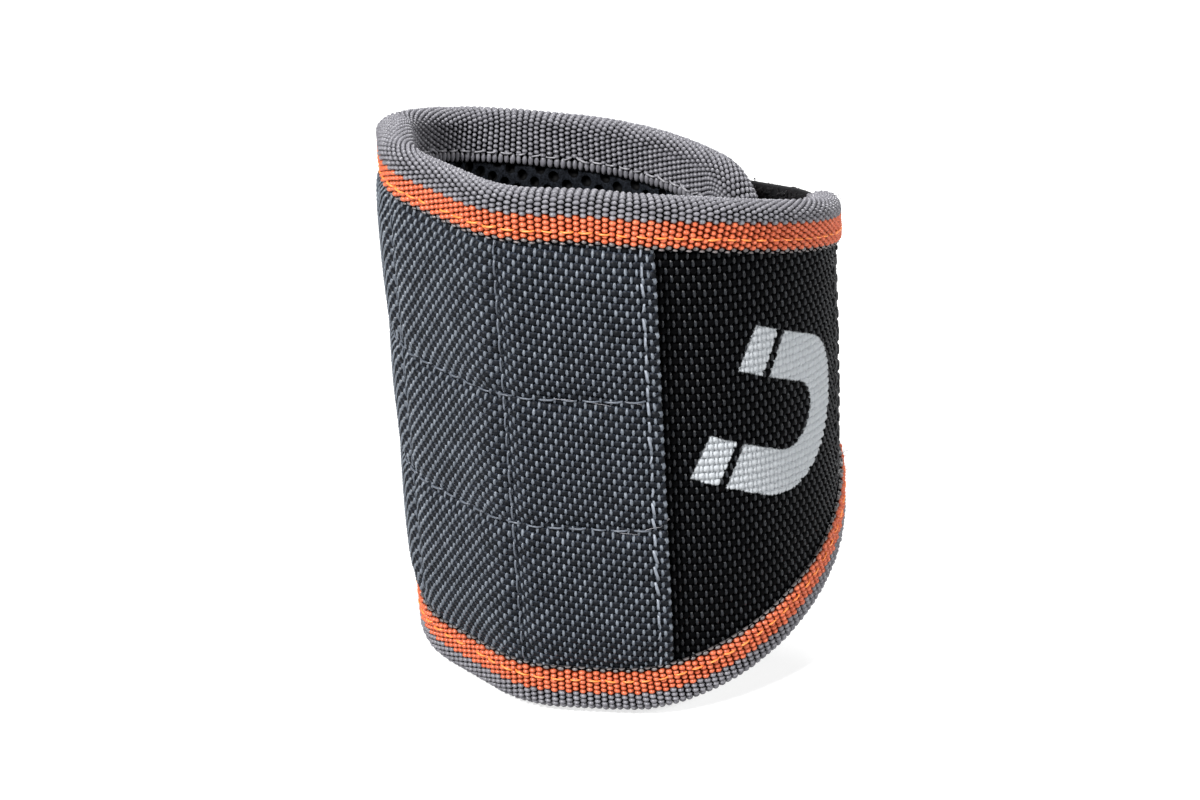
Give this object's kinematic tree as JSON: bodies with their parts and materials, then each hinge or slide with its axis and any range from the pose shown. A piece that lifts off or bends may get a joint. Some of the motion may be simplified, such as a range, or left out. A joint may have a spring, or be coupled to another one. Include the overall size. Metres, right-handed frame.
{
  "type": "magnetic wristband",
  "caption": "Padded cloth wrist cuff with flat magnets sewn into quilted pockets, ribbed binding along its edges and a hook-and-loop closing strap, for keeping small steel parts at hand.",
  "frame": {"origin": "middle of the wrist opening, half way up the cuff", "axes": "+Z along the wearer's forearm through the opening, -Y towards the front of the cuff, where the magnet panel meets the plain panel"},
  "size_m": [0.0753, 0.0656, 0.0924],
  "materials": {
    "panel_cloth": "coarse ballistic weave",
    "shell_cloth": "coarse ballistic weave",
    "lining_mesh": "knitted spacer mesh with round holes",
    "foam": "open cell foam sheet",
    "binding_tape": "ribbed binding tape with a woven stripe",
    "strap_web": "brushed loop tape",
    "hook_film": "moulded hook tape",
    "loop_pile": "brushed loop pile",
    "magnet_nickel": "nickel plated"
  },
  "bodies": {
    "magnet_section": {"magnet_panel": "panel_cloth", "panel_backing": "shell_cloth", "panel_foam": "foam", "panel_lining": "lining_mesh", "panel_binding_top": "binding_tape", "panel_binding_bottom": "binding_tape", "magnet_row1_column1": "magnet_nickel", "magnet_row1_column2": "magnet_nickel", "magnet_row1_column3": "magnet_nickel", "magnet_row2_column1": "magnet_nickel", "magnet_row2_column2": "magnet_nickel", "magnet_row2_column3": "magnet_nickel", "magnet_row3_column1": "magnet_nickel", "magnet_row3_column2": "magnet_nickel", "magnet_row3_column3": "magnet_nickel"},
    "wing": {"wing_shell": "shell_cloth", "wing_foam": "foam", "wing_lining": "lining_mesh", "wing_binding_top": "binding_tape", "wing_binding_bottom": "binding_tape", "strap_anchor": "strap_web"},
    "tail": {"tail_shell": "shell_cloth", "tail_foam": "foam", "tail_lining": "lining_mesh", "tail_binding": "binding_tape", "loop_patch": "loop_pile"},
    "strap": {"strap_web": "strap_web", "hook_pad": "hook_film"}
  },
  "joints": [
    {"name": "wing_open", "type": "hinge", "parent": "magnet_section", "child": "wing", "pos_m": [0.00871, -0.03081, 0], "axis": [0, 0, -1], "range_deg": [0, 90]},
    {"name": "tail_open", "type": "hinge", "parent": "magnet_section", "child": "tail", "pos_m": [-0.03702, 0.01335, 0], "axis": [0, 0, 1], "range_deg": [0, 36]},
    {"name": "strap_peel", "type": "hinge", "parent": "wing", "child": "strap", "pos_m": [0.03675, 0.011, 0], "axis": [0, 0, -1], "range_deg": [0, 140]}
  ],
  "couplings": [
    {"joint": "tail_open", "follows": "wing_open", "ratio": 0.4}
  ]
}
